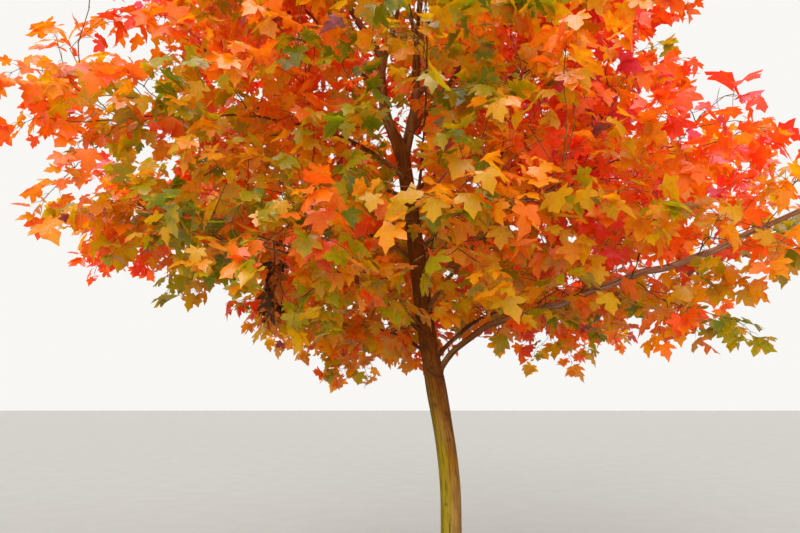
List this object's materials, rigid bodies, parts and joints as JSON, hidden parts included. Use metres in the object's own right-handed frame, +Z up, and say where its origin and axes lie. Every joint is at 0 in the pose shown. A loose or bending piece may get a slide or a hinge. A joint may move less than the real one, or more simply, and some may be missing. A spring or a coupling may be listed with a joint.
{
  "type": "maple tree",
  "caption": "Young open-grown maple in autumn leaf: leaning tapered trunk with a root flare, two forking stems, rising boughs and leafy masses, for planting on level ground.",
  "frame": {"origin": "middle of the trunk's flat cut at ground level", "axes": "+Z up the trunk, +X towards the side of the long low bough, +Y away from the side that the picture shows"},
  "size_m": [4.777, 4.492, 6.7903],
  "materials": {
    "bark": "rough bark",
    "red_leaves": "matt autumn leaf",
    "orange_leaves": "matt autumn leaf",
    "amber_leaves": "matt autumn leaf",
    "crimson_leaves": "matt autumn leaf",
    "olive_leaves": "matt autumn leaf"
  },
  "bodies": {
    "root": {"trunk": "bark", "left_stem": "bark", "right_stem": "bark", "low_right": "bark", "low_back_right": "bark", "low_back_left": "bark", "left_rising": "bark", "front_left": "bark", "right_rising": "bark", "front_right": "bark", "low_back": "bark", "left_middle": "bark", "right_middle": "bark", "front_middle": "bark", "back_left": "bark", "back_right": "bark", "left_long": "bark", "left_upper": "bark", "upper_back_left": "bark", "upper_back_right": "bark", "right_limb": "bark", "right_long": "bark", "upper_right": "bark", "upper_front": "bark", "leader_outer_left": "bark", "leader_back": "bark", "leader_front_left": "bark", "leader_top": "bark", "leader_front_right": "bark", "leaves_low_right": "red_leaves", "leaves_low_back_right": "orange_leaves", "leaves_low_back_left": "amber_leaves", "leaves_left_rising": "crimson_leaves", "leaves_front_left": "olive_leaves", "leaves_right_rising": "red_leaves", "leaves_front_right": "orange_leaves", "leaves_low_back": "amber_leaves", "leaves_left_middle": "crimson_leaves", "leaves_right_middle": "olive_leaves", "leaves_front_middle": "red_leaves", "leaves_back_left": "orange_leaves", "leaves_back_right": "amber_leaves", "leaves_left_long": "crimson_leaves", "leaves_left_upper": "olive_leaves", "leaves_upper_back_left": "red_leaves", "leaves_upper_back_right": "orange_leaves", "leaves_right_limb": "amber_leaves", "leaves_right_long": "crimson_leaves", "leaves_upper_right": "olive_leaves", "leaves_upper_front": "red_leaves", "leaves_leader_outer_left": "orange_leaves", "leaves_leader_back": "amber_leaves", "leaves_leader_front_left": "crimson_leaves", "leaves_leader_top": "olive_leaves", "leaves_leader_front_right": "red_leaves"}
  },
  "joints": []
}
